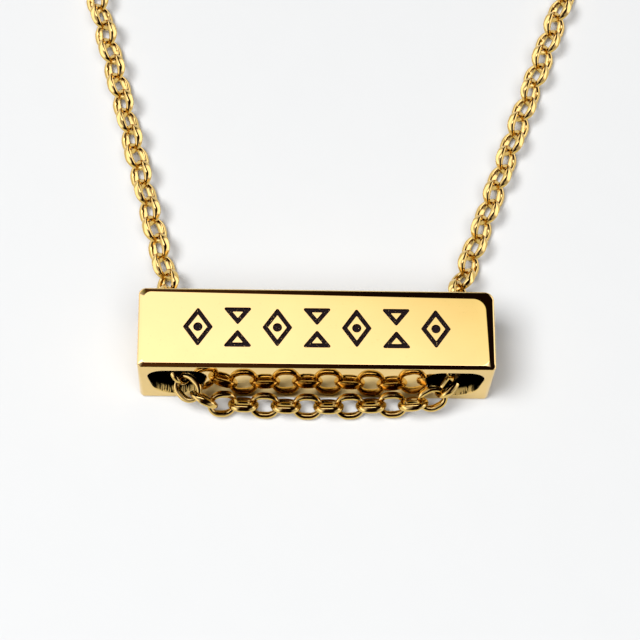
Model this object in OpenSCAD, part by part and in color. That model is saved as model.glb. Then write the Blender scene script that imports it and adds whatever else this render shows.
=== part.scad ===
// Bar necklace laid flat: a square bar with an engraved row of marks, a hole
// drilled through each end, and one cable chain threaded through both, so that a
// slack strand crosses below the bar and two long strands leave above it.
// The bar lies on its back with its engraved face up. The row of marks runs
// along X, and the long strands run towards +Y and meet at the clasp.

/* [Bar] */
// Length of the bar along its row of marks
bar_length = 32; // [31.5:0.5:34]
// Height of the bar, from the face with the slack strand to the opposite face
bar_height = 7.7; // [7.5:0.1:7.8]
// Thickness of the bar, from its back to its engraved face
bar_thickness = 7.7; // [7.5:0.1:9]
// Rounding of the four long edges
long_edge_round = 0.35; // [0.2:0.05:0.6]
// Rounding where the ends meet the back and the engraved face
end_edge_round = 0.8; // [0.4:0.05:1]
// Rounding where the ends meet the two pierced faces
end_corner_round = 0.65; // [0.4:0.05:0.8]

/* [Thread holes] */
// Radius of the round bore that the chain runs through
bore_radius = 2.3; // [2.25:0.05:2.4]
// Distance of the bore's axis from the end of the bar
bore_inset = 3.5; // [3.4:0.05:3.6]
// Height of the bore's axis above the back of the bar
bore_level = 3.4; // [3.35:0.05:3.45]
// Radius of the round ends of the wider slot that opens each bore to the front
slot_radius = 1.5; // [1.4:0.05:1.5]
// Half of the distance between the slot's round ends
slot_reach = 1.1; // [0.9:0.05:1.2]
// Height of the slot's axis above the back of the bar
slot_level = 5.05; // [4.9:0.05:5.2]

/* [Engraved marks] */
// Number of marks in the row
mark_count = 7; // [3:2:7]
// Distance from one mark to the next
mark_pitch = 3.55; // [3.2:0.05:3.7]
// Width of a mark
mark_width = 2.7; // [2.2:0.1:3]
// Height of a mark
mark_height = 3.8; // [3:0.1:4.4]
// Width of an engraved line
stroke = 0.42; // [0.3:0.02:0.46]
// Depth of an engraved line
stroke_depth = 0.2; // [0.1:0.05:0.4]

/* [Chain] */
// Diameter of the wire of a link
wire = 0.4; // [0.36:0.01:0.4]
// Length of a link over its wire
link_length = 2.94; // [2.93:0.01:2.96]
// Width of a link over its wire
link_width = 2.65; // [2.55:0.01:2.66]

/* [Clasp] */
// Width of the clasp over its hook
clasp_width = 5; // [4.8:0.1:5.4]
// Thickness of the clasp
clasp_thickness = 1; // [0.8:0.1:1.1]
// Outer diameter of the ring at each end of the chain
ring_diameter = 4.2; // [4.2:0.1:4.4]
// Diameter of the wire of such a ring
ring_wire = 0.6; // [0.5:0.05:0.6]

/* [Hidden] */
$fn = 64;
GOLD = [0.93, 0.76, 0.37];
DEEP_GOLD = [0.85, 0.66, 0.28];

// Advance of the chain from one link to the next, with the links nearly taut
pitch = 1.94;
// Every second link is rolled to one side, and the others to the other side
link_roll = 45;
// Height of the chain's centre line where it lies flat
lie_height = 1.1;
// Distance of the slack strand from the bar's pierced face, and its middle, which
// lies a little to the right of the bar's
slack_gap = 1.38;
slack_start = [0.27, -bar_height / 2 - slack_gap, lie_height];

// The chain is described from the middle of the slack strand outwards, once to
// each side. Each row is a stretch of links: how many, the turn towards +Y that
// each makes in degrees, the slope at which each climbs, and an extra roll.
LINKS = 0;
TURN = 1;
CLIMB = 2;
ROLL = 3;
left_stretches = [
    [4, 0.5, 0, 0],
    [1, -8, 20, 0],
    [1, 19, 33, 10],
    [1, 34, 8, 10],
    [1, 34, 0, 0],
    [2, 3, 0, 0],
    [1, -4, -8, 0],
    [1, -5, -33, 0],
    [1, -2, -20, 0],
    [16, 0, 0, 0],
];
right_stretches = [
    [3, 1, 0, 0],
    [1, -3, 8, 0],
    [1, -5, 20, 0],
    [1, 27, 29, 0],
    [1, 32, 8, 0],
    [1, 32, 0, 0],
    [2, 2, 0, 0],
    [1, -8, -8, 0],
    [1, -8, -29, 0],
    [1, -3.5, -20, 0],
    [1, 0, -8, 0],
    [15, 0, 0, 0],
];

// Behind the visible part each strand runs straight, then bends round to the
// clasp, and its last links climb to the rings
left_straight_links = 45;
right_straight_links = 43;
left_bend_links = 37;
right_bend_links = 41;
rising_links = 4;
rise_slope = 4;
clasp_heading = 180;

// One row for each link instead of one for each stretch
function each_link(stretches) =
    [for (row = stretches) for (i = [1:row[LINKS]]) row];

// Running sum of the turns up to and with each link
function headings(links) =
    [for (i = 0, h = links[0][TURN]; i < len(links);
          i = i + 1, h = i < len(links) ? h + links[i][TURN] : h) h];

function last(list) = list[len(list) - 1];

// A strand with the straight part and the bend round to the clasp added
function whole_strand(stretches, straight_links, bend_links) =
    let (turn = (clasp_heading - last(headings(each_link(stretches)))) / bend_links)
    each_link(concat(stretches, [
        [straight_links, 0, 0, 0],
        [bend_links - rising_links, turn, 0, 0],
        [rising_links, turn, rise_slope, 0],
    ]));

// Direction of a link whose heading is measured from the outward X direction
function direction(side, heading, climb) =
    [side * cos(climb) * cos(heading), cos(climb) * sin(heading), sin(climb)];

// The points where each link hangs in the next, from the slack strand outwards
function pivots(side, links, turned, i = 0, at = slack_start) =
    i == len(links) ? [at] :
    concat([at], pivots(side, links, turned, i + 1,
        at + pitch * direction(side, turned[i], links[i][CLIMB])));

left_links = whole_strand(left_stretches, left_straight_links, left_bend_links);
right_links = whole_strand(right_stretches, right_straight_links, right_bend_links);
left_pivots = pivots(-1, left_links, headings(left_links));
right_pivots = pivots(1, right_links, headings(right_links));

// The clasp lies on the line between the two ends of the chain
left_end = last(left_pivots);
right_end = last(right_pivots);
clasp_gap = norm(right_end - left_end);
clasp_yaw = atan2(right_end[1] - left_end[1], right_end[0] - left_end[0]);
ring_bend = (ring_diameter - ring_wire) / 2;
// Gap left between two pieces of metal that hook into each other
play = 0.12;
// A ring's wire sits this far inside the end link, measured from its pivot
ring_inset = (pitch - link_length) / 2 + wire + play + ring_wire / 2;
// From a chain end to the wire of its ring on the clasp's side
ring_far = 2 * ring_bend - ring_inset;

bore_x = bar_length / 2 - bore_inset;

module bar() {
    color(GOLD) difference() {
        bar_block();
        for (side = [-1, 1]) thread_hole(side);
        engraved_marks();
    }
}

// The block with every edge rounded, as the part common to three prisms, each
// with its four edges along one axis rounded
module bar_block() {
    translate([0, 0, bar_thickness / 2]) intersection() {
        rotate([90, 0, 90])
            rounded_prism(bar_height, bar_thickness, bar_length, long_edge_round);
        rotate([90, 0, 0])
            rounded_prism(bar_length, bar_thickness, bar_height, end_edge_round);
        rounded_prism(bar_length, bar_height, bar_thickness, end_corner_round);
    }
}

module rounded_prism(width, height, length, round) {
    linear_extrude(length, center = true) union() {
        square([width - 2 * round, height], center = true);
        square([width, height - 2 * round], center = true);
        for (x = [-1, 1], y = [-1, 1])
            translate([x * (width / 2 - round), y * (height / 2 - round)]) circle(round);
    }
}

// A round bore, opened to the front by a wider slot with round ends
module thread_hole(side) {
    through = bar_height + 2;
    translate([side * bore_x, 0, bore_level]) rotate([90, 0, 0])
        cylinder(h = through, r = bore_radius, center = true);
    for (end = [-1, 1])
        translate([side * bore_x + end * slot_reach, 0, slot_level]) rotate([90, 0, 0])
            cylinder(h = through, r = slot_radius, center = true);
    translate([side * bore_x, 0, slot_level])
        cube([2 * slot_reach, through, 2 * slot_radius], center = true);
}

// Diamonds with a dot, and between them pairs of triangles point to point
module engraved_marks() {
    translate([0, 0, bar_thickness - stroke_depth]) linear_extrude(stroke_depth + 1)
        for (i = [0:mark_count - 1])
            translate([(i - (mark_count - 1) / 2) * mark_pitch, 0])
                if (i % 2 == 0) diamond_mark(); else hourglass_mark();
}

module diamond_mark() {
    rise = stroke * norm([mark_width, mark_height]) / mark_width;
    run = rise * mark_width / mark_height;
    difference() {
        diamond(mark_width, mark_height);
        diamond(mark_width - 2 * run, mark_height - 2 * rise);
    }
    circle(stroke);
}

module diamond(width, height) {
    polygon([[width / 2, 0], [0, height / 2], [-width / 2, 0], [0, -height / 2]]);
}

// Two hollow triangles whose points face each other across a narrow bridge
module hourglass_mark() {
    bridge = stroke / 2;
    height = mark_height / 2 - bridge;
    slant = norm([mark_width / 2, height]);
    rise = stroke * slant / (mark_width / 2);
    inner_height = height - rise - stroke;
    for (end = [0, 1]) mirror([0, end]) translate([0, bridge]) difference() {
        triangle(mark_width, height);
        translate([0, rise]) triangle(mark_width * inner_height / height, inner_height);
    }
}

module triangle(width, height) {
    polygon([[0, 0], [width / 2, height], [-width / 2, height]]);
}

module chain() {
    color(DEEP_GOLD) {
        strand(-1, left_links, left_pivots);
        strand(1, right_links, right_pivots);
    }
}

module strand(side, links, hangs) {
    turned = headings(links);
    for (i = [0:len(links) - 1])
        on_chain((hangs[i] + hangs[i + 1]) / 2, side, turned[i], links[i][CLIMB],
                 side_roll(i) + links[i][ROLL])
            link();
}

// Which way the link with this number is rolled, counted outwards
function side_roll(i) = (i % 2 == 0 ? -1 : 1) * link_roll;

// Puts a piece at a point with its length along the run of the chain there
module on_chain(at, side, heading, climb, roll) {
    translate(at) rotate([roll, -climb, side > 0 ? heading : 180 - heading]) children();
}

// Two half rings joined by two short straights
module link() {
    bend = (link_width - wire) / 2;
    straight = link_length - link_width;
    for (end = [0, 180]) rotate(end) {
        translate([straight / 2, 0]) rotate(-90)
            rotate_extrude(angle = 180) translate([bend, 0]) circle(wire / 2, $fn = 24);
        translate([0, bend, 0]) rotate([0, 90, 0])
            cylinder(h = straight, r = wire / 2, center = true, $fn = 24);
    }
}

// The ring that hooks into the last link of a strand, at the clasp's eye or hook
module closing_ring(side, end, links) {
    toward = side * [-cos(clasp_yaw), -sin(clasp_yaw), 0];
    on_chain(end + (ring_bend - ring_inset) * toward, side, clasp_heading - side * clasp_yaw, 0,
             side_roll(len(links)))
        rotate_extrude() translate([ring_bend, 0]) circle(ring_wire / 2, $fn = 32);
}

module clasp_ring() {
    color(DEEP_GOLD) closing_ring(1, right_end, right_links);
}

module end_ring() {
    color(DEEP_GOLD) closing_ring(-1, left_end, left_links);
}

// One plain piece: a closed hook at the left end and a small eye at the right
module clasp() {
    hook_wall = 0.75;
    hook_seat = 1;
    eye_wall = 0.7;
    eye_seat = 1.05;
    eye_radius = 1.4;
    bridge = 2.2;
    hook_radius = clasp_width / 2;
    hook_start = ring_far - hook_seat - hook_wall;
    eye_end = clasp_gap - ring_far + eye_seat + eye_wall;
    eye_at = eye_end - eye_wall - eye_radius;
    opening_end = eye_at - eye_radius - bridge;
    color(GOLD) translate(left_end) rotate(clasp_yaw)
        linear_extrude(clasp_thickness, center = true) difference() {
            union() {
                stadium(hook_start, eye_at - eye_radius, hook_radius);
                translate([eye_at, 0]) circle(eye_radius + eye_wall);
            }
            stadium(hook_start + hook_wall, opening_end, hook_radius - hook_wall);
            translate([eye_at, 0]) circle(eye_radius);
        }
}

// A round-ended plate from one X to another
module stadium(from, to, radius) {
    for (x = [from + radius, to - radius]) translate([x, 0]) circle(radius);
    translate([from + radius, -radius]) square([to - from - 2 * radius, 2 * radius]);
}

bar();
chain();
clasp();
clasp_ring();
end_ring();
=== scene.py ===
"""Looks of a bar necklace: a mirror-polished square bar with a row of engraved marks,
threaded on one fine cable chain whose two long strands meet at a flat hook clasp."""

import math

import bmesh
import bpy
from bpy.props import FloatProperty, FloatVectorProperty, IntProperty, PointerProperty
from bpy.types import Operator, Panel, PropertyGroup
from mathutils import Matrix, Vector


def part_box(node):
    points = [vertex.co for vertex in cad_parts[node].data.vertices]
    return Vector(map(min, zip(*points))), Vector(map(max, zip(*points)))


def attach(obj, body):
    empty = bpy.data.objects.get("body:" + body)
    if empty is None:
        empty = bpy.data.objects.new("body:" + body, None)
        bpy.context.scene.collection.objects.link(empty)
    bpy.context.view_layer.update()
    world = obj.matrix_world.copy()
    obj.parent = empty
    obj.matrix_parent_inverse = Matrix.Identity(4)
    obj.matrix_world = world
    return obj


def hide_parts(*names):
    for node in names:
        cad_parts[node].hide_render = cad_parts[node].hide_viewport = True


bl_info = {
    "name": "Bar Necklace",
    "version": (1, 0, 0),
    "blender": (4, 5, 0),
    "location": "View3D > Sidebar > Bar Necklace",
    "description": "Builds a polished bar on a fine cable chain, laid on a pale floor",
    "category": "Add Mesh",
}

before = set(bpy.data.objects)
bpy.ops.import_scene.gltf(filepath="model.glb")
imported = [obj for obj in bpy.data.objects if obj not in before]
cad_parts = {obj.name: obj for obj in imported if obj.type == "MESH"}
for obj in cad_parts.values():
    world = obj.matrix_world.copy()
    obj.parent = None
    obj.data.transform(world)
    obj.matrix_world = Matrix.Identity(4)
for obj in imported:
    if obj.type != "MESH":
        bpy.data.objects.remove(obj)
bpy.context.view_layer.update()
BODY = "root"
MM = 0.001


# Settings that a user would change

class BarSettings(PropertyGroup):
    """Edges, holes and marks of the bar"""

    near_edge: FloatVectorProperty(
        name="Near Edge", description="Width of the polished edge above the slack strand, at "
        "its left and right", size=2, default=(0.43 * MM, 0.39 * MM), min=0.1 * MM,
        max=1 * MM, unit="LENGTH")
    far_edge: FloatVectorProperty(
        name="Far Edge", description="Width of the polished edge above the long strands, at "
        "its left and right", size=2, default=(0.48 * MM, 0.92 * MM), min=0.1 * MM,
        max=1 * MM, unit="LENGTH")
    left_edge: FloatVectorProperty(
        name="Left Edge", description="Width of the polished edge at the left end, near and far",
        size=2, default=(0.48 * MM, 0.50 * MM), min=0.1 * MM, max=1 * MM, unit="LENGTH")
    right_edge: FloatVectorProperty(
        name="Right Edge", description="Width of the polished edge at the right end, near and far",
        size=2, default=(0.62 * MM, 0.86 * MM), min=0.1 * MM, max=1 * MM, unit="LENGTH")
    front_radii: FloatVectorProperty(
        name="Front Corners", description="Radii of the corners of the flat front, anticlockwise "
        "from the near left one", size=4, default=(0.30 * MM, 0.70 * MM, 1.15 * MM, 0.65 * MM),
        min=0.1 * MM, max=2 * MM, unit="LENGTH")
    corner_radii: FloatVectorProperty(
        name="Upright Corners", description="Radii of the upright edges, anticlockwise from "
        "the near left one", size=4, default=(0.40 * MM, 0.45 * MM, 0.85 * MM, 0.65 * MM),
        min=0.1 * MM, max=1 * MM, unit="LENGTH")
    edge_angles: FloatVectorProperty(
        name="Edge Angles", description="Slope of a polished edge at the crease where it starts, "
        "and where it turns down to the side", size=2,
        default=(math.radians(12), math.radians(28)), min=0, max=math.radians(60),
        subtype="EULER")
    turn_radii: FloatVectorProperty(
        name="Turn Radii", description="Radii at which the polished edges turn down to the "
        "sides: near, right, far and left", size=4,
        default=(0.09 * MM, 0.24 * MM, 0.40 * MM, 0.13 * MM), min=0.02 * MM, max=0.5 * MM,
        unit="LENGTH")
    back_edge: FloatVectorProperty(
        name="Back Edge", description="Rounding of the back at the ends and at the long sides",
        size=2, default=(0.78 * MM, 0.35 * MM), min=0.1 * MM, max=1 * MM, unit="LENGTH")
    bore_radius: FloatProperty(
        name="Bore Radius", description="Radius of the round bore that the chain runs through",
        default=2.3 * MM, min=2.2 * MM, max=2.4 * MM, subtype="DISTANCE")
    bore_inset: FloatProperty(
        name="Bore Inset", description="Distance of the bore's axis from the end of the bar",
        default=3.5 * MM, min=3.4 * MM, max=3.6 * MM, subtype="DISTANCE")
    bore_level: FloatProperty(
        name="Bore Level", description="Height of the bore's axis above the back of the bar",
        default=3.4 * MM, min=3.3 * MM, max=3.5 * MM, subtype="DISTANCE")
    slot_radius: FloatProperty(
        name="Slot Radius", description="Radius of the ends of the slot that widens each bore",
        default=1.5 * MM, min=1.4 * MM, max=1.6 * MM, subtype="DISTANCE")
    slot_reach: FloatProperty(
        name="Slot Reach", description="Half of the distance between the slot's round ends",
        default=1.1 * MM, min=0.9 * MM, max=1.2 * MM, subtype="DISTANCE")
    slot_level: FloatProperty(
        name="Slot Level", description="Height of the slot's axis above the back of the bar",
        default=5.05 * MM, min=4.9 * MM, max=5.2 * MM, subtype="DISTANCE")
    rim: FloatProperty(
        name="Hole Rim", description="Rounding of the rim of each hole",
        default=0.16 * MM, min=0.05 * MM, max=0.3 * MM, subtype="DISTANCE")
    mark_count: IntProperty(
        name="Marks", description="Number of engraved marks in the row", default=7, min=3, max=7)
    mark_pitch: FloatProperty(
        name="Mark Pitch", description="Distance from one mark to the next",
        default=3.55 * MM, min=3.2 * MM, max=3.7 * MM, subtype="DISTANCE")
    mark_width: FloatProperty(
        name="Mark Width", description="Width of a mark",
        default=2.7 * MM, min=2.2 * MM, max=3 * MM, subtype="DISTANCE")
    mark_height: FloatProperty(
        name="Mark Height", description="Height of a mark",
        default=3.8 * MM, min=3 * MM, max=4.4 * MM, subtype="DISTANCE")
    stroke: FloatProperty(
        name="Stroke", description="Width of an engraved line",
        default=0.42 * MM, min=0.3 * MM, max=0.5 * MM, subtype="DISTANCE")
    stroke_depth: FloatProperty(
        name="Stroke Depth", description="Depth of an engraved line",
        default=0.2 * MM, min=0.1 * MM, max=0.4 * MM, subtype="DISTANCE")


class ChainSettings(PropertyGroup):
    """Form of one link, and how the links hang in each other"""

    link_length: FloatProperty(
        name="Link Length", description="Length of a link over its wire",
        default=2.88 * MM, min=2.8 * MM, max=2.94 * MM, subtype="DISTANCE")
    link_width: FloatProperty(
        name="Link Width", description="Width of a link over its wire",
        default=2.58 * MM, min=2.4 * MM, max=2.65 * MM, subtype="DISTANCE")
    wire: FloatProperty(
        name="Wire", description="Thickness of the wire at the ends of a link",
        default=0.47 * MM, min=0.4 * MM, max=0.5 * MM, subtype="DISTANCE")
    side_wire: FloatVectorProperty(
        name="Side Wire", description="Thickness of the wire at the long sides of a link, in "
        "the link's plane and across it",
        size=2, default=(0.52 * MM, 0.76 * MM), min=0.4 * MM, max=0.8 * MM, unit="LENGTH")
    side_corner: FloatProperty(
        name="Side Corner", description="Radius of the corners of the wire's section at the long "
        "sides, as a part of half of its thickness", default=0.58, min=0.2, max=0.95,
        subtype="FACTOR")
    slack_wire: FloatVectorProperty(
        name="Slack Wire", description="The same thicknesses for the links of the slack strand",
        size=2, default=(0.56 * MM, 0.72 * MM), min=0.4 * MM, max=0.8 * MM, unit="LENGTH")
    pitch: FloatProperty(
        name="Pitch", description="Advance of the chain from one link to the next",
        default=1.94 * MM, min=1.9 * MM, max=1.98 * MM, subtype="DISTANCE")
    link_roll: FloatProperty(
        name="Link Roll", description="Roll of every second link to one side",
        default=math.radians(45), min=0, max=math.radians(60), subtype="ANGLE")
    seen_roll: FloatProperty(
        name="Seen Roll", description="How much further the links that the camera sees roll",
        default=math.radians(5), min=0, max=math.radians(8), subtype="ANGLE")
    lean: FloatProperty(
        name="Lean", description="Roll of the long strands, their facing sides lifted",
        default=math.radians(2), min=0, max=math.radians(10), subtype="ANGLE")
    loose_roll: FloatProperty(
        name="Loose Roll", description="Largest uneven roll of the links that lie straight",
        default=math.radians(4), min=0, max=math.radians(8), subtype="ANGLE")


class ClaspSettings(PropertyGroup):
    """Form of the clasp and of the two rings beside it"""

    ring_diameter: FloatProperty(
        name="Ring Diameter", description="Outer diameter of a ring",
        default=4.2 * MM, min=4 * MM, max=4.4 * MM, subtype="DISTANCE")
    ring_wire: FloatProperty(
        name="Ring Wire", description="Diameter of a ring's wire",
        default=0.6 * MM, min=0.5 * MM, max=0.6 * MM, subtype="DISTANCE")
    width: FloatProperty(
        name="Clasp Width", description="Width of the clasp over its hook",
        default=5 * MM, min=4.8 * MM, max=5.4 * MM, subtype="DISTANCE")
    edge: FloatProperty(
        name="Clasp Edge", description="Rounding of the clasp's edges",
        default=0.2 * MM, min=0.05 * MM, max=0.4 * MM, subtype="DISTANCE")


class FinishSettings(PropertyGroup):
    """Colours of the metals and of the filling of the marks"""

    bar_gold: FloatVectorProperty(
        name="Bar Gold", description="Reflected colour of the polished bar",
        default=(0.82, 0.57, 0.185), min=0, max=1, subtype="COLOR")
    # Darker than the bar's gold: painted shade, for the links mirroring each other's shadows
    chain_gold: FloatVectorProperty(
        name="Chain Gold", description="Reflected colour of the chain's wire",
        default=(0.74, 0.50, 0.135), min=0, max=1, subtype="COLOR")
    filling: FloatVectorProperty(
        name="Filling", description="Colour of the dark filling of the marks",
        default=(0.006, 0.003, 0.003), min=0, max=1, subtype="COLOR")
    floor: FloatVectorProperty(
        name="Floor", description="Colour of the pale floor",
        default=(0.60, 0.605, 0.607), min=0, max=1, subtype="COLOR")


class StudioSettings(PropertyGroup):
    """Camera, lights and surroundings"""

    camera_place: FloatVectorProperty(
        name="Camera", description="Where the camera stands",
        default=(-6.75 * MM, -81.06 * MM, 206.27 * MM), subtype="TRANSLATION")
    camera_turn: FloatVectorProperty(
        name="Camera Turn", description="How the camera is turned from looking straight down",
        default=(math.radians(22.387), math.radians(-1.948), math.radians(-0.181)),
        subtype="EULER")
    lens: FloatProperty(
        name="Lens", description="Focal length of the camera on a sensor 36 mm wide",
        default=135, min=35, max=200)
    key_power: FloatProperty(
        name="Key Light", description="Power of the soft light from the upper left, in watts",
        default=12.1, min=0, max=100)
    fill_power: FloatProperty(
        name="Fill Light", description="Power of the soft light from the near side, in watts",
        default=4.9, min=0, max=100)
    sky_power: FloatProperty(
        name="Surroundings", description="Brightness of the surroundings",
        default=1, min=0, max=4)


GROUPS = {
    "necklace_bar": BarSettings,
    "necklace_chain": ChainSettings,
    "necklace_clasp": ClaspSettings,
    "necklace_finish": FinishSettings,
    "necklace_studio": StudioSettings,
}


# Shader maths as Python expressions

class Signal:
    """The output of a shader node, on which arithmetic adds Math nodes"""

    def __init__(self, shader, socket):
        self.shader = shader
        self.socket = socket

    def __add__(self, other):
        return self.shader.math("ADD", self, other)

    def __sub__(self, other):
        return self.shader.math("SUBTRACT", self, other)

    def __rsub__(self, other):
        return self.shader.math("SUBTRACT", other, self)

    def __mul__(self, other):
        return self.shader.math("MULTIPLY", self, other)

    __radd__ = __add__
    __rmul__ = __mul__

    def ramp(self, zero, one):
        """0 at zero and before it, 1 at one and past it, smooth between; either may be larger"""
        return self.shader.signal("ShaderNodeMapRange", 0,
                                  dict(interpolation_type="SMOOTHSTEP"), self, zero, one, 0, 1)


class Shader:
    """Adds nodes to a node tree, with their settings first and their sockets after"""

    def __init__(self, tree):
        self.tree = tree
        tree.nodes.clear()

    def node(self, kind, settings=None, *values, **named):
        node = self.tree.nodes.new(kind)
        for name, value in (settings or {}).items():
            setattr(node, name, value)
        for socket, value in zip(node.inputs, values):
            self.feed(socket, value)
        for name, value in named.items():
            self.feed(node.inputs[name.replace("_", " ")], value)
        return node

    def feed(self, socket, value):
        if isinstance(value, Signal):
            self.tree.links.new(value.socket, socket)
        else:
            socket.default_value = value

    def signal(self, kind, output, settings=None, *values, **named):
        return Signal(self, self.node(kind, settings, *values, **named).outputs[output])

    def math(self, operation, *values):
        return self.signal("ShaderNodeMath", 0, dict(operation=operation), *values)

    def place(self):
        """Position on the piece, in the frame's axes"""
        return self.signal("ShaderNodeTexCoord", "Object")

    def stretched(self, place, scale):
        """A position scaled along each axis, which makes a texture longer or finer there"""
        return self.signal("ShaderNodeVectorMath", 0, dict(operation="MULTIPLY"), place, scale)

    def noise(self, place, scale, detail=2, roughness=0.5):
        return self.signal("ShaderNodeTexNoise", 0, None, place, Scale=scale,
                           Detail=detail, Roughness=roughness)

    def blend(self, factor, first, second):
        """Colour that goes from first to second with the factor"""
        node = self.node("ShaderNodeMix", dict(data_type="RGBA"), factor)
        self.feed(node.inputs[6], first)
        self.feed(node.inputs[7], second)
        return Signal(self, node.outputs[2])

    def split(self, place):
        """The three parts of a position or direction"""
        node = self.node("ShaderNodeSeparateXYZ", None, place)
        return [Signal(self, socket) for socket in node.outputs]


def opaque(colour, brightness=1):
    """A colour as a socket takes it, with full alpha"""
    return tuple(part * brightness for part in colour) + (1,)


# Sizes of the unevenness that every polished metal has
POLISHING_LINE = 0.12 * MM
DUST_SPOT = 0.3 * MM
RIPPLE_WIDTH = 2.2 * MM
RIPPLE_DEPTH = 0.005 * MM
# Widths of the drill's streaks, of the filling's grain and of its bright specks
DRILL_STREAK = 0.14 * MM
FILLING_GRAIN = 0.16 * MM
FILLING_SPECK = 0.13 * MM
GRAIN_BROWN = (0.03, 0.014, 0.009, 1)


def new_shader(name):
    """A new material and the shader that fills its node tree"""
    material = bpy.data.materials.new(name)
    material.use_nodes = True
    return material, Shader(material.node_tree)


def metal(name, colour, roughness, worn, stretch, patch):
    """A polished metal: uneven colour, fine polishing lines, dust and faint ripples.

    colour is the reflected colour, roughness the least one and worn the most. stretch scales
    the lines' texture along each axis, so that they run along one whose scale is small, and
    patch is the size of the colour's patches."""
    material, shader = new_shader(name)
    place = shader.place()
    patches = shader.noise(place, 1 / patch, detail=3)
    lines = shader.noise(shader.stretched(place, stretch), 1 / POLISHING_LINE, detail=3)
    dust = shader.noise(place, 1 / DUST_SPOT, detail=4, roughness=0.7)
    waves = shader.noise(place, 1 / RIPPLE_WIDTH, detail=1)
    base = shader.blend(patches.ramp(0.35, 0.7), opaque(colour, 0.94), opaque(colour))
    spots = dust.ramp(0.60, 0.72) * 0.25
    tinted = shader.blend(spots, base, opaque(colour, 0.72))
    dull = lines.ramp(0.45, 0.75) * 0.5 + patches.ramp(0.5, 0.8) * 0.5
    height = waves * 0.9 + lines * 0.1
    bump = shader.signal("ShaderNodeBump", 0, None, Strength=0.35, Distance=RIPPLE_DEPTH,
                         Height=height)
    surface = shader.signal(
        "ShaderNodeBsdfPrincipled", 0, None, Base_Color=tinted, Metallic=1.0,
        Roughness=dull * (worn - roughness) + roughness, Normal=bump)
    shader.node("ShaderNodeOutputMaterial", None, surface)
    return material


def bar_gold():
    finish = bpy.context.scene.necklace_finish
    return metal("bar_gold", finish.bar_gold, 0.02, 0.07, (0.04, 1, 1), 9 * MM)


def chain_gold():
    finish = bpy.context.scene.necklace_finish
    return metal("chain_gold", finish.chain_gold, 0.03, 0.10, (1, 1, 1), 3 * MM)


def bore_gold_painted_shade():
    """The drilled wall, painted near-black as shade inside, gold in streaks at the lower lips"""
    finish = bpy.context.scene.necklace_finish
    material, shader = new_shader("bore_gold_painted_shade")
    place = shader.place()
    _, along, height = shader.split(place)
    drill = shader.noise(shader.stretched(place, (1, 0.12, 1)), 1 / DRILL_STREAK, detail=3)
    mouth = shader.math("ABSOLUTE", along).ramp(3.0 * MM, 3.3 * MM)
    lip = mouth * height.ramp(2.4 * MM, 1.8 * MM)
    streaks = lip * drill.ramp(0.40, 0.52)
    # Painted shade: near-black deep in the bore; the gold's own colour shows only in streaks at
    # the lips
    colour = shader.blend(streaks, opaque(finish.bar_gold, 0.012), opaque(finish.bar_gold, 0.95))
    bump = shader.signal("ShaderNodeBump", 0, None, Strength=0.6, Distance=0.04 * MM,
                         Height=drill)
    surface = shader.signal("ShaderNodeBsdfPrincipled", 0, None, Base_Color=colour,
                            Metallic=1 - streaks * 0.6, Roughness=streaks * 0.35 + 0.12,
                            Normal=bump)
    shader.node("ShaderNodeOutputMaterial", None, surface)
    return material


def dark_filling():
    """The burnt floor of the engraved lines, with a few bright specks of metal"""
    finish = bpy.context.scene.necklace_finish
    material, shader = new_shader("dark_filling")
    place = shader.place()
    grain = shader.noise(place, 1 / FILLING_GRAIN, detail=4, roughness=0.7)
    specks = shader.noise(place, 1 / FILLING_SPECK, detail=2).ramp(0.66, 0.74)
    brown = shader.blend(grain.ramp(0.5, 0.8), opaque(finish.filling), GRAIN_BROWN)
    colour = shader.blend(specks, brown, opaque(finish.bar_gold, 0.7))
    bump = shader.signal("ShaderNodeBump", 0, None, Strength=0.6, Distance=0.05 * MM,
                         Height=grain)
    surface = shader.signal("ShaderNodeBsdfPrincipled", 0, None, Base_Color=colour,
                            Metallic=specks, Roughness=0.65 - specks * 0.3,
                            Specular_IOR_Level=0.15, Normal=bump)
    shader.node("ShaderNodeOutputMaterial", None, surface)
    return material


# Mesh helpers

# The least that a cutter reaches past the metal
OVERSHOOT = 1 * MM
# Faces that meet at more than this are shaded with a crease
CREASE = math.radians(35)


def placed(name, data):
    """A new object in the scene for a mesh, curve, lamp or camera"""
    made = bpy.data.objects.new(name, data)
    bpy.context.scene.collection.objects.link(made)
    return made


def piece(name, mesh, replaced, slot, *materials):
    """Makes a named piece that rides on the body and stands for a solid of the frame"""
    for material in materials:
        mesh.materials.append(material)
    made = placed(name, mesh)
    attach(made, BODY)
    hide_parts(replaced)


def baked(source):
    """The mesh of an object with its modifiers applied; the object itself goes"""
    graph = bpy.context.evaluated_depsgraph_get()
    mesh = bpy.data.meshes.new_from_object(source.evaluated_get(graph))
    bpy.data.objects.remove(source)
    return mesh


def finished(edited, name, material):
    """The mesh of a bmesh with its faces turned outwards; the bmesh itself goes"""
    bmesh.ops.recalc_face_normals(edited, faces=edited.faces)
    mesh = bpy.data.meshes.new(name)
    edited.to_mesh(mesh)
    edited.free()
    mesh.materials.append(material)
    return mesh


def carve(mesh, cutter_mesh, name):
    """The mesh with the cutter taken away; cut faces keep the cutter's material"""
    body = placed(name + "_body", mesh)
    cutter = placed(name + "_cutter", cutter_mesh)
    cut = body.modifiers.new("Cut", "BOOLEAN")
    cut.object = cutter
    cut.operation = "DIFFERENCE"
    cut.solver = "EXACT"
    cut.material_mode = "TRANSFER"
    result = baked(body)
    bpy.data.objects.remove(cutter)
    return result


def arc(centre, radius, start, end, count):
    """Points along an arc, angles in degrees, with both ends"""
    steps = [math.radians(start + (end - start) * i / count) for i in range(count + 1)]
    return [(centre[0] + radius * math.cos(a), centre[1] + radius * math.sin(a)) for a in steps]


def smooth(mesh):
    mesh.polygons.foreach_set("use_smooth", [True] * len(mesh.polygons))


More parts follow.
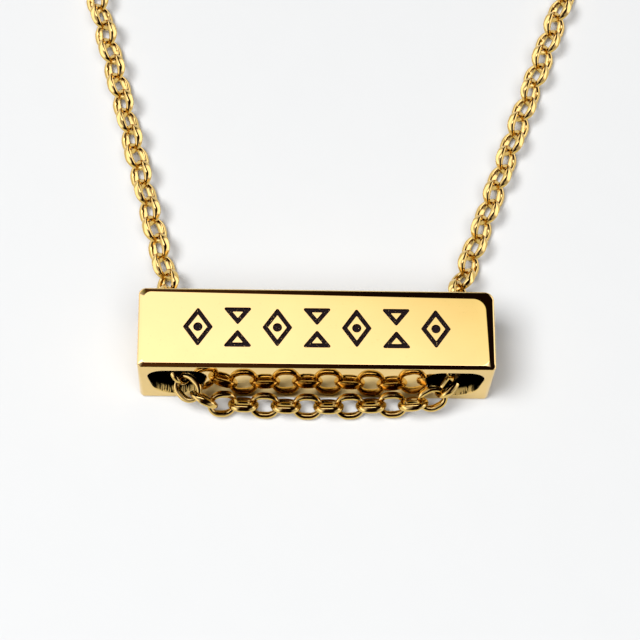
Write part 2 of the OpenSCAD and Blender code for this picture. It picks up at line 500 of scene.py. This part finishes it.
def even_normals(mesh, name):
    """The mesh with its flat faces shaded flat and its narrow roundings shaded round"""
    smooth(mesh)
    mesh.set_sharp_from_angle(angle=CREASE)
    holder = placed(name + "_normals", mesh)
    weighted = holder.modifiers.new("Normals", "WEIGHTED_NORMAL")
    weighted.weight = 100
    weighted.keep_sharp = True
    return baked(holder)


# The bar

# Steps round a corner of the bar, across a polished edge, down its turn and round the back
CORNER_STEPS = 12
EDGE_STEPS = 8
TURN_STEPS = 6
BACK_STEPS = 8
# Steps round a bore, round each end of its slot, over a hole's rim, and in the marks
BORE_STEPS = 120
SLOT_STEPS = 96
RIM_STEPS = 6
STROKE_CORNER_STEPS = 4
DOT_STEPS = 24


def bar_outline(low, high, insets, radii):
    """A rounded outline of the bar, seen from above, each corner moved in along x and y"""
    ends = ((low.x, low.y, 1, 1), (high.x, low.y, -1, 1), (high.x, high.y, -1, -1),
            (low.x, high.y, 1, -1))
    corners = [(x + to_x * inset_x, y + to_y * inset_y)
               for (x, y, to_x, to_y), (inset_x, inset_y) in zip(ends, insets)]
    return rounded_loop(corners, radii, CORNER_STEPS)


def around_outline(near, right, far, left):
    """A value for each point of a bar_outline, from pairs of values at the sides' two ends.

    Near and far go from left to right, left and right from near to far."""
    values = []
    for start, end in ((left[0], near[0]), (near[1], right[0]), (right[1], far[1]),
                       (far[0], left[1])):
        values += [start + (end - start) * step / CORNER_STEPS
                   for step in range(CORNER_STEPS + 1)]
    return values


def edge_profile(width, radius, first, last):
    """Points of a polished edge: how far across, as a part of its width, and how far fallen.

    A shallow arc from the first slope to the last, then a tight one down to the side."""
    points = []
    shallow_width = width - radius * (1 - math.sin(last))
    shallow_radius = shallow_width / (math.sin(last) - math.sin(first))
    depth = shallow_radius * (math.cos(first) - math.cos(last))
    for step in range(EDGE_STEPS + 1):
        angle = first + (last - first) * step / EDGE_STEPS
        points.append((shallow_radius * (math.sin(angle) - math.sin(first)) / width,
                       shallow_radius * (math.cos(first) - math.cos(angle))))
    for step in range(1, TURN_STEPS + 1):
        angle = last + (math.pi / 2 - last) * step / TURN_STEPS
        points.append(((shallow_width + radius * (math.sin(angle) - math.sin(last))) / width,
                       depth + radius * (math.cos(last) - math.cos(angle))))
    return points


def rounded_block(settings, low, high):
    """The block as a pile of outlines, from the flat front down its edges to the back"""
    outer = bar_outline(low, high, [(0, 0)] * 4, settings.corner_radii)
    near, far = settings.near_edge, settings.far_edge
    left, right = settings.left_edge, settings.right_edge
    front = bar_outline(low, high, ((left[0], near[0]), (right[0], near[1]),
                                    (right[1], far[1]), (left[1], far[0])),
                        settings.front_radii)
    end_round, side_round = settings.back_edge
    back = bar_outline(low, high, [(end_round, side_round)] * 4, settings.corner_radii)
    widths = around_outline(near, right, far, left)
    radii = around_outline(*[(radius, radius) for radius in settings.turn_radii])
    falls = around_outline(*[(fall, fall) for fall in (side_round, end_round) * 2])
    profiles = [edge_profile(width, radius, *settings.edge_angles)
                for width, radius in zip(widths, radii)]
    levels = []
    for step in range(len(profiles[0])):
        levels.append([(*Vector(inner).lerp(Vector(rim), profile[step][0]),
                        high.z - profile[step][1])
                       for inner, rim, profile in zip(front, outer, profiles)])
    for step in range(BACK_STEPS + 1):
        angle = math.pi / 2 * step / BACK_STEPS
        moved_in, above_back = 1 - math.cos(angle), 1 - math.sin(angle)
        levels.append([(*Vector(rim).lerp(Vector(inner), moved_in), low.z + above_back * fall)
                       for inner, rim, fall in zip(back, outer, falls)])
    mesh = bmesh.new()
    rings = [[mesh.verts.new(point) for point in level] for level in levels]
    count = len(outer)
    for ring, following in zip(rings, rings[1:]):
        for i in range(count):
            j = (i + 1) % count
            mesh.faces.new((ring[i], ring[j], following[j], following[i]))
    mesh.faces.new(rings[0])
    mesh.faces.new(rings[-1][::-1])
    return finished(mesh, "bar_block", bar_gold())


def hull(points):
    """Corners of the convex outline round some points, anticlockwise"""
    points = sorted(set(points))

    def chain_of(ordered):
        kept = []
        for p in ordered:
            while len(kept) > 1 and turn(kept[-2], kept[-1], p) <= 0:
                kept.pop()
            kept.append(p)
        return kept[:-1]

    def turn(a, b, c):
        return (b[0] - a[0]) * (c[1] - a[1]) - (b[1] - a[1]) * (c[0] - a[0])

    return chain_of(points) + chain_of(reversed(points))


def hole_outline(settings, bore_x):
    """The round bore and the wider slot above it, drawn together into an egg"""
    points = arc((bore_x, settings.bore_level), settings.bore_radius, 0, 360, BORE_STEPS)
    for end in (-1, 1):
        centre = (bore_x + end * settings.slot_reach, settings.slot_level)
        points += arc(centre, settings.slot_radius, 0, 360, SLOT_STEPS)
    return hull(points)


def prism(mesh, outline, hole, place):
    """Adds a prism to a bmesh, with a hole of as many corners in it if hole isn't None.

    place turns an outline's point and 0 or 1 for the prism's two ends into a position."""
    rings = []
    for loop in (outline, hole):
        if loop is not None:
            rings.append([[mesh.verts.new(place(p, end)) for p in loop] for end in (0, 1)])
    count = len(outline)
    for ring, reverse in zip(rings, (False, True)):
        for i in range(count):
            j = (i + 1) % count
            corners = [ring[0][i], ring[0][j], ring[1][j], ring[1][i]]
            mesh.faces.new(corners[::-1] if reverse else corners)
    for end in (0, 1):
        if len(rings) == 1:
            mesh.faces.new(rings[0][end][::-1] if end == 0 else rings[0][end])
            continue
        outer, inner = rings[0][end], rings[1][end]
        for i in range(count):
            j = (i + 1) % count
            corners = [outer[i], outer[j], inner[j], inner[i]]
            mesh.faces.new(corners[::-1] if end == 0 else corners)


def hole_cutter(settings, low, high):
    """The two holes as solids, which run right through the bar"""
    mesh = bmesh.new()
    bore_x = high.x - settings.bore_inset
    ends = (low.y - 2 * OVERSHOOT, high.y + 2 * OVERSHOOT)
    for side in (-1, 1):
        prism(mesh, hole_outline(settings, side * bore_x), None,
              lambda p, end: Vector((p[0], ends[end], p[1])))
    return finished(mesh, "hole_cutter", bore_gold_painted_shade())


def round_rims(mesh, settings):
    """The mesh with the edges round both ends of each hole rounded"""
    edited = bmesh.new()
    edited.from_mesh(mesh)
    walls = [i for i, m in enumerate(mesh.materials) if m.name.startswith("bore_gold_painted_shade")]
    rims = [edge for edge in edited.edges
            if len(edge.link_faces) == 2
            and sum(face.material_index in walls for face in edge.link_faces) == 1]
    bmesh.ops.bevel(edited, geom=rims, offset=settings.rim, segments=RIM_STEPS, profile=0.5,
                    affect="EDGES", clamp_overlap=True, material=-1)
    edited.to_mesh(mesh)
    edited.free()
    return mesh


def corner_at(corners, i):
    """A corner of an outline, the directions of its neighbours, and half of its angle"""
    here = Vector(corners[i])
    before = (Vector(corners[i - 1]) - here).normalized()
    after = (Vector(corners[(i + 1) % len(corners)]) - here).normalized()
    return here, before, after, before.angle(after) / 2


def rounded_loop(corners, radii, steps):
    """A closed outline with each corner rounded; corners are given anticlockwise"""
    loop = []
    for i, radius in enumerate(radii):
        here, before, after, half = corner_at(corners, i)
        centre = here + (before + after).normalized() * radius / math.sin(half)
        start = math.atan2(*(here + before * radius / math.tan(half) - centre).yx)
        end = math.atan2(*(here + after * radius / math.tan(half) - centre).yx)
        sweep = (end - start + math.pi) % math.tau - math.pi
        for step in range(steps + 1):
            angle = start + sweep * step / steps
            loop.append((centre.x + radius * math.cos(angle), centre.y + radius * math.sin(angle)))
    return loop


def inset(corners, width):
    """The corners of an outline moved in by a width, for a convex outline"""
    moved = []
    for i in range(len(corners)):
        here, before, after, half = corner_at(corners, i)
        moved.append(tuple(here + (before + after).normalized() * width / math.sin(half)))
    return moved


def mark_outlines(settings):
    """The corners of every closed stroke of the row, and the dots' centres.

    Diamonds with a dot and hourglasses of two triangles take turns."""
    half_wide = settings.mark_width / 2
    half_high = settings.mark_height / 2
    gap = settings.stroke / 2
    strokes, dots = [], []
    for i in range(settings.mark_count):
        x = (i - (settings.mark_count - 1) / 2) * settings.mark_pitch
        if i % 2 == 0:
            strokes.append([(x + half_wide, 0), (x, half_high), (x - half_wide, 0),
                            (x, -half_high)])
            dots.append((x, 0))
        else:
            strokes.append([(x, gap), (x + half_wide, half_high), (x - half_wide, half_high)])
            strokes.append([(x, -gap), (x - half_wide, -half_high),
                            (x + half_wide, -half_high)])
    return strokes, dots


def mark_cutter(settings, high):
    """The engraved lines and dots as solids, which stand out of the front"""
    mesh = bmesh.new()
    levels = (high.z - settings.stroke_depth, high.z + OVERSHOOT)
    outer_corner, inner_corner = settings.stroke / 3, settings.stroke / 12
    strokes, dots = mark_outlines(settings)

    def place(p, end):
        return Vector((p[0], p[1], levels[end]))

    for corners in strokes:
        count = len(corners)
        outer = rounded_loop(corners, [outer_corner] * count, STROKE_CORNER_STEPS)
        inner = rounded_loop(inset(corners, settings.stroke), [inner_corner] * count,
                             STROKE_CORNER_STEPS)
        prism(mesh, outer, inner, place)
    for centre in dots:
        prism(mesh, arc(centre, settings.stroke, 0, 360, DOT_STEPS)[:-1], None, place)
    return finished(mesh, "mark_cutter", dark_filling())


class BarOperator(Operator):
    """Builds the polished bar with its holes and its engraved marks"""

    bl_idname = "necklace.bar"
    bl_label = "Bar"

    def execute(self, context):
        settings = context.scene.necklace_bar
        low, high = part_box("bar")
        mesh = rounded_block(settings, low, high)
        mesh = carve(mesh, hole_cutter(settings, low, high), "holes")
        mesh = round_rims(mesh, settings)
        mesh = carve(mesh, mark_cutter(settings, high), "marks")
        mesh = even_normals(mesh, "bar")
        piece("polished_bar", mesh, "bar", "polished_gold")
        if len(mesh.materials) != 3:
            raise RuntimeError("the bar lost one of its finishes")
        return {"FINISHED"}


# The chain. It is described from the middle of the slack strand outwards, once to each
# side. Each row is a stretch of links: how many, the turn towards +Y that each makes in
# degrees, the slope at which each climbs, and an extra roll.

LEFT_STRETCHES = [
    (4, 0.5, 0, 0),
    (1, -8, 20, 0),
    (1, 19, 33, 10),
    (1, 34, 8, 10),
    (1, 34, 0, 0),
    (2, 3, 0, 0),
    (1, -4, -8, 0),
    (1, -5, -33, 0),
    (1, -2, -20, 0),
    (16, 0, 0, 0),
]
RIGHT_STRETCHES = [
    (3, 1, 0, 0),
    (1, -3, 8, 0),
    (1, -5, 20, 0),
    (1, 27, 29, 0),
    (1, 32, 8, 0),
    (1, 32, 0, 0),
    (2, 2, 0, 0),
    (1, -8, -8, 0),
    (1, -8, -29, 0),
    (1, -3.5, -20, 0),
    (1, 0, -8, 0),
    (15, 0, 0, 0),
]
# Links of each side in the straight part behind, and in the bend round to the clasp
LEFT_BEHIND = (45, 37)
RIGHT_BEHIND = (43, 41)
# The last links of each side, which climb to the clasp, their slope and their last heading
RISING_LINKS = 4
RISE_SLOPE = 4
CLASP_HEADING = 180
SLACK_START = Vector((0.27, -5.11, 1.18)) * MM
# How much higher the middle of a leaning link lies
LEAN_LIFT = 0.11 * MM
# Makes the series of loose rolls look uneven
LOOSE_SERIES = 2.4
# Counted on each side from the slack strand's middle: links of the slack strand, links up to
# the end of the threaded stretch, and links that the camera sees
SLACK_LINKS = 8
THREADED_LINKS = 13
SEEN_LINKS = 31
# How much narrower the links are that the camera doesn't see
HIDDEN_NARROWER = 0.16 * MM
# Steps along the wire of a link or ring, and round its section
SEEN_STEPS = (44, 16)
HIDDEN_STEPS = (22, 12)
RING_STEPS = (64, 16)
# Radius of the wire's corners, as a part of half of its thickness: at a link's ends and in
# the rings, at the sides on the slack strand, and at those of hidden links
END_CORNER = 0.95
SLACK_CORNER = 0.85
HIDDEN_CORNER = 0.9


class Strand:
    """One half of the chain: where each link hangs, and how it is turned"""

    def __init__(self, side, stretches, behind, pitch):
        straight, bend = behind
        rows = [row for row in stretches for _ in range(row[0])]
        turn = (CLASP_HEADING - sum(row[1] for row in rows)) / bend
        rows += [(1, 0, 0, 0)] * straight
        rows += [(1, turn, 0, 0)] * (bend - RISING_LINKS)
        rows += [(1, turn, RISE_SLOPE, 0)] * RISING_LINKS
        self.side = side
        self.rows = rows
        self.headings = []
        self.pivots = [SLACK_START]
        heading = 0
        for _, turned, climb, _ in rows:
            heading += turned
            self.headings.append(heading)
            self.pivots.append(self.pivots[-1] + pitch * self.direction(heading, climb))

    def direction(self, heading, climb):
        """Unit vector along the run of the chain, angles in degrees"""
        heading, climb = math.radians(heading), math.radians(climb)
        return Vector((self.side * math.cos(climb) * math.cos(heading),
                       math.cos(climb) * math.sin(heading), math.sin(climb)))

    def turned(self, place, heading, climb, roll):
        """The matrix that moves a link or ring to a place, its length along the chain's run"""
        yaw = heading if self.side > 0 else 180 - heading
        return (Matrix.Translation(place) @ Matrix.Rotation(math.radians(yaw), 4, "Z")
                @ Matrix.Rotation(math.radians(-climb), 4, "Y")
                @ Matrix.Rotation(math.radians(roll), 4, "X"))

    def roll(self, i, settings):
        """Links roll to one side and to the other in turn, here in degrees"""
        return math.degrees(settings.link_roll) * (-1 if i % 2 == 0 else 1)

    def link_places(self, settings):
        """The place of each link, those that lie straight rolled a little unevenly"""
        places = []
        for i, (_, _, climb, extra) in enumerate(self.rows):
            roll = self.roll(i, settings) + extra
            if i < SEEN_LINKS:
                roll += math.copysign(math.degrees(settings.seen_roll), self.roll(i, settings))
            middle = (self.pivots[i] + self.pivots[i + 1]) / 2
            if THREADED_LINKS < i < len(self.rows) // 2:
                loose = math.sin(LOOSE_SERIES * i * i + self.side)
                roll += math.degrees(settings.loose_roll) * loose
                roll += math.degrees(settings.lean) * self.side
                middle.z += LEAN_LIFT
            places.append(self.turned(middle, self.headings[i], climb, roll))
        return places


def both_strands(settings):
    return (Strand(-1, LEFT_STRETCHES, LEFT_BEHIND, settings.pitch),
            Strand(1, RIGHT_STRETCHES, RIGHT_BEHIND, settings.pitch))


def wire_section(thick, across, corner, sides):
    """The wire's section: a rectangle of these half sizes with rounded corners"""
    radius = corner * min(thick, across)
    steps = sides // 4 - 1
    points = []
    for quarter, (to_out, to_up) in enumerate(((1, 1), (-1, 1), (-1, -1), (1, -1))):
        for step in range(steps + 1):
            angle = math.pi / 2 * (quarter + step / steps)
            points.append((to_out * (thick - radius) + radius * math.cos(angle),
                           to_up * (across - radius) + radius * math.sin(angle)))
    return points


def wire_loop(length, width, wire, side_wire, side_corner, around, sides):
    """Rings of points along one link: two half circles and two straights between them.

    The wire is nearly round at the link's ends, and has another section at its long sides."""
    rings = []
    for step in range(around):
        angle = math.tau * (step + 0.5) / around
        outward = Vector((math.cos(angle), math.sin(angle), 0))
        beside = math.sin(angle) ** 2
        thick = (wire + (side_wire[0] - wire) * beside) / 2
        across = (wire + (side_wire[1] - wire) * beside) / 2
        corner = END_CORNER + (side_corner - END_CORNER) * beside
        middle = (outward * (width / 2 - thick)
                  + Vector((math.copysign((length - width) / 2, outward.x), 0, 0)))
        rings.append([middle + outward * out + Vector((0, 0, up))
                      for out, up in wire_section(thick, across, corner, sides)])
    return rings


def add_loop(points, faces, rings, place):
    """Adds one closed link to the lists of a joined mesh"""
    first = len(points)
    around, sides = len(rings), len(rings[0])
    points.extend(place @ point for ring in rings for point in ring)
    for i in range(around):
        for j in range(sides):
            after, beside = (i + 1) % around, (j + 1) % sides
            faces.append((first + i * sides + j, first + after * sides + j,
                          first + after * sides + beside, first + i * sides + beside))


def joined(name, points, faces):
    mesh = bpy.data.meshes.new(name)
    mesh.from_pydata(points, [], faces)
    mesh.validate()
    smooth(mesh)
    return mesh


class ChainOperator(Operator):
    """Builds every link of the chain, finer where the camera is close"""

    bl_idname = "necklace.chain"
    bl_label = "Chain"

    def execute(self, context):
        settings = context.scene.necklace_chain
        length, width, wire = settings.link_length, settings.link_width, settings.wire
        slack = wire_loop(length, width, wire, settings.slack_wire, SLACK_CORNER, *SEEN_STEPS)
        seen = wire_loop(length, width, wire, settings.side_wire, settings.side_corner,
                         *SEEN_STEPS)
        hidden = wire_loop(length, width - HIDDEN_NARROWER, wire, (wire, wire), HIDDEN_CORNER,
                           *HIDDEN_STEPS)
        points, faces = [], []
        for strand in both_strands(settings):
            for i, place in enumerate(strand.link_places(settings)):
                form = slack if i < SLACK_LINKS else seen if i < SEEN_LINKS else hidden
                add_loop(points, faces, form, place)
        links = even_normals(joined("chain_links", points, faces), "chain")
        piece("chain_links", links, "chain", "chain_gold", chain_gold())
        return {"FINISHED"}


class RingsOperator(Operator):
    """Builds the ring at each end of the chain"""

    bl_idname = "necklace.rings"
    bl_label = "Closing Rings"

    def execute(self, context):
        settings = context.scene.necklace_clasp
        chain = context.scene.necklace_chain
        diameter, wire = settings.ring_diameter, settings.ring_wire
        form = wire_loop(diameter, diameter, wire, (wire, wire), END_CORNER, *RING_STEPS)
        for strand, node in zip(both_strands(chain), ("end_ring", "clasp_ring")):
            low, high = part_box(node)
            points, faces = [], []
            roll = strand.roll(len(strand.rows), chain)
            place = strand.turned((low + high) / 2, CLASP_HEADING, 0, roll)
            add_loop(points, faces, form, place)
            name = node + "_wire"
            piece(name, joined(name, points, faces), node, "chain_gold",
                  bpy.data.materials["chain_gold"])
        return {"FINISHED"}


class ClaspOperator(Operator):
    """Builds the flat clasp: a closed hook at the left and an eye at the right"""

    bl_idname = "necklace.clasp"
    bl_label = "Clasp"

    # Widths of metal round the opening and the eye, the eye's radius, and the width of metal
    # between eye and opening
    hook_wall = 0.75 * MM
    eye_wall = 0.7 * MM
    eye_radius = 1.4 * MM
    bridge = 2.2 * MM
    # Steps round the hook's end, the curves to the eye, the eye's outside, each end of the
    # opening, and the eye's hole
    hook_steps = 40
    meeting_steps = 16
    eye_steps = 48
    opening_steps = 32
    hole_steps = 40

    def execute(self, context):
        settings = context.scene.necklace_clasp
        low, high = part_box("clasp")
        hook = settings.width / 2
        eye_outer = self.eye_radius + self.eye_wall
        hook_at = low.x + hook
        eye_at = high.x - eye_outer
        body_end = eye_at - self.eye_radius - hook
        opening_end = eye_at - self.eye_radius - self.bridge - (hook - self.hook_wall)
        apart = eye_at - body_end
        reach = (hook ** 2 - eye_outer ** 2 + apart ** 2) / (2 * apart)
        meeting = math.degrees(math.acos(reach / hook))
        eye_meeting = math.degrees(math.acos((apart - reach) / eye_outer))
        outer = (arc((hook_at, 0), hook, 90, 270, self.hook_steps)
                 + arc((body_end, 0), hook, -90, -meeting, self.meeting_steps)
                 + arc((eye_at, 0), eye_outer, eye_meeting - 180, 180 - eye_meeting,
                       self.eye_steps)
                 + arc((body_end, 0), hook, meeting, 90, self.meeting_steps))
        inside = hook - self.hook_wall
        opening = (arc((hook_at, 0), inside, 90, 270, self.opening_steps)
                   + arc((opening_end, 0), inside, -90, 90, self.opening_steps))
        eye = arc((eye_at, 0), self.eye_radius, 0, 360, self.hole_steps)[:-1]
        centre = (low + high) / 2
        curve = bpy.data.curves.new("clasp_outline", "CURVE")
        curve.dimensions = "2D"
        curve.fill_mode = "BOTH"
        for outline in (outer, opening, eye):
            spline = curve.splines.new("POLY")
            spline.points.add(len(outline) - 1)
            for point, (x, y) in zip(spline.points, outline):
                point.co = (x, y + centre.y, 0, 1)
            spline.use_cyclic_u = True
        curve.extrude = (high.z - low.z) / 2 - settings.edge
        curve.bevel_depth = settings.edge
        curve.bevel_resolution = 4
        curve.offset = -settings.edge
        mesh = baked(placed("clasp_outline", curve))
        mesh.transform(Matrix.Translation((0, 0, centre.z)))
        mesh = even_normals(mesh, "clasp")
        piece("clasp_plate", mesh, "clasp", "clasp_gold", bar_gold())
        return {"FINISHED"}


# The stage

# Brightness of the surroundings' panel, right horizon and strip, of the faint light at the
# upper and far left, and of every other direction
PANEL_LIGHT = 1.70
RIGHT_LIGHT = 2.0
STRIP_LIGHT = 3
GLOOM_LIGHT = 0.07
LEAST_LIGHT = 0.008
# Colours of the surroundings: most of what is bright, the panel's far right, what is dark
BRIGHT_COLOUR = (1, 1, 1.42, 1)
WARM_COLOUR = (1, 1, 0.67, 1)
DARK_COLOUR = (1, 0.45, 0.25, 1)
# The two lamps: diameter, and place from the point at which they aim, in metres
KEY_LAMP = (0.52, (-0.41, -0.16, 0.95))
FILL_LAMP = (0.60, (0.05, -0.34, 0.76))
LAMP_AIM = Vector((0, 0.02, 0))
FLOOR_WIDTH = 4
FLOOR_GRAIN = 4 * MM


def surroundings(settings):
    """What the metal mirrors, seen in reflections only, as the lamps light the floor.

    x, y and z are a direction's parts: to the right, away from the viewer and up. A bright
    panel stands high behind, with a brighter strip along its edge nearest to overhead. The
    left side is bright, most at the horizon, and so is the right side's horizon. The rest,
    towards the viewer and far behind, is dark."""
    world = bpy.data.worlds.new("studio")
    bpy.context.scene.world = world
    world.use_nodes = True
    world.cycles_visibility.diffuse = False
    shader = Shader(world.node_tree)
    x, y, z = shader.split(shader.signal("ShaderNodeTexCoord", "Generated"))
    slope = x + y * 2
    high = z.ramp(0.30, 0.60)
    not_right = x.ramp(0.45, 0.20)
    panel = slope.ramp(1.17, 0.72) * y.ramp(0.16, 0.30) * y.ramp(0.56, 0.45) * not_right * high
    left = x.ramp(-0.20, -0.60) * y.ramp(-0.90, -0.60) * (z.ramp(0.45, 0.30) * 1.4 + 0.55)
    right = x.ramp(0.40, 0.70) * z.ramp(0.46, 0.36) * (y.ramp(-0.50, -0.10) * 0.75 + 0.25)
    strip = y.ramp(0.04, 0.10) * y.ramp(0.34, 0.28) * x.ramp(-0.90, -0.50) * not_right * high
    gloom = x.ramp(0.07, -0.05) * shader.math("MAXIMUM", z.ramp(0.6, 0.8), y.ramp(0.5, 0.7))
    bright = (shader.math("MAXIMUM", panel * PANEL_LIGHT, left) + right * RIGHT_LIGHT
              + strip * STRIP_LIGHT)
    tint = shader.blend(slope.ramp(0.72, 1.02) * high, BRIGHT_COLOUR, WARM_COLOUR)
    colour = shader.blend(bright.ramp(0, 0.1), DARK_COLOUR, tint)
    strength = (bright + gloom * GLOOM_LIGHT + LEAST_LIGHT) * settings.sky_power
    sky = shader.signal("ShaderNodeBackground", 0, None, colour, strength)
    shader.node("ShaderNodeOutputWorld", None, sky)


def stage_floor(finish):
    """A plain pale floor under the necklace"""
    half = FLOOR_WIDTH / 2
    mesh = bpy.data.meshes.new("floor")
    corners = [(-half, -half, 0), (half, -half, 0), (half, half, 0), (-half, half, 0)]
    mesh.from_pydata(corners, [], [(0, 1, 2, 3)])
    material, shader = new_shader("pale_floor")
    grain = shader.noise(shader.place(), 1 / FLOOR_GRAIN, detail=4)
    tone = shader.blend(grain, opaque(finish.floor), opaque(finish.floor, 0.985))
    surface = shader.signal("ShaderNodeBsdfPrincipled", 0, None, Base_Color=tone,
                            Roughness=0.9, Specular_IOR_Level=0.1)
    shader.node("ShaderNodeOutputMaterial", None, surface)
    mesh.materials.append(material)
    placed("floor", mesh)


def soft_light(name, power, size, offset):
    """A round soft light that neither the camera nor the metal sees"""
    light = bpy.data.lights.new(name, "AREA")
    light.shape = "DISK"
    light.size = size
    light.energy = power
    lamp = placed(name, light)
    lamp.location = LAMP_AIM + Vector(offset)
    lamp.rotation_euler = (lamp.location - LAMP_AIM).to_track_quat("Z", "Y").to_euler()
    lamp.visible_camera = False
    lamp.visible_glossy = False


def photo_camera(settings):
    """The camera, above the necklace and a little towards the viewer's side"""
    data = bpy.data.cameras.new("camera")
    data.lens = settings.lens
    data.sensor_width = 36
    data.clip_start = 10 * MM
    camera = placed("camera", data)
    camera.location = settings.camera_place
    camera.rotation_euler = settings.camera_turn
    bpy.context.scene.camera = camera


class StageOperator(Operator):
    """Adds the surroundings, the floor, two soft lamps and the camera"""

    bl_idname = "necklace.stage"
    bl_label = "Stage"

    def execute(self, context):
        studio = context.scene.necklace_studio
        context.scene.view_settings.view_transform = "Standard"
        surroundings(studio)
        stage_floor(context.scene.necklace_finish)
        soft_light("key", studio.key_power, *KEY_LAMP)
        soft_light("fill", studio.fill_power, *FILL_LAMP)
        photo_camera(studio)
        return {"FINISHED"}


OPERATORS = (StageOperator, BarOperator, ChainOperator, RingsOperator, ClaspOperator)


class NecklacePanel(Panel):
    """Lists the steps that build the necklace, and the settings they use"""

    bl_idname = "VIEW3D_PT_necklace"
    bl_label = "Bar Necklace"
    bl_space_type = "VIEW_3D"
    bl_region_type = "UI"
    bl_category = "Bar Necklace"

    def draw(self, context):
        layout = self.layout
        for operator in OPERATORS:
            layout.operator(operator.bl_idname)
        for group in GROUPS:
            settings = getattr(context.scene, group)
            box = layout.box()
            for name in type(settings).__annotations__:
                box.prop(settings, name)


CLASSES = tuple(GROUPS.values()) + OPERATORS + (NecklacePanel,)


def register():
    for each in CLASSES:
        bpy.utils.register_class(each)
    for name, group in GROUPS.items():
        setattr(bpy.types.Scene, name, PointerProperty(type=group))


def unregister():
    for name in GROUPS:
        delattr(bpy.types.Scene, name)
    for each in reversed(CLASSES):
        bpy.utils.unregister_class(each)


def main():
    register()
    for operator in OPERATORS:
        group, step = operator.bl_idname.split(".")
        getattr(getattr(bpy.ops, group), step)()
    bpy.context.view_layer.update()


if __name__ == "__main__":
    main()
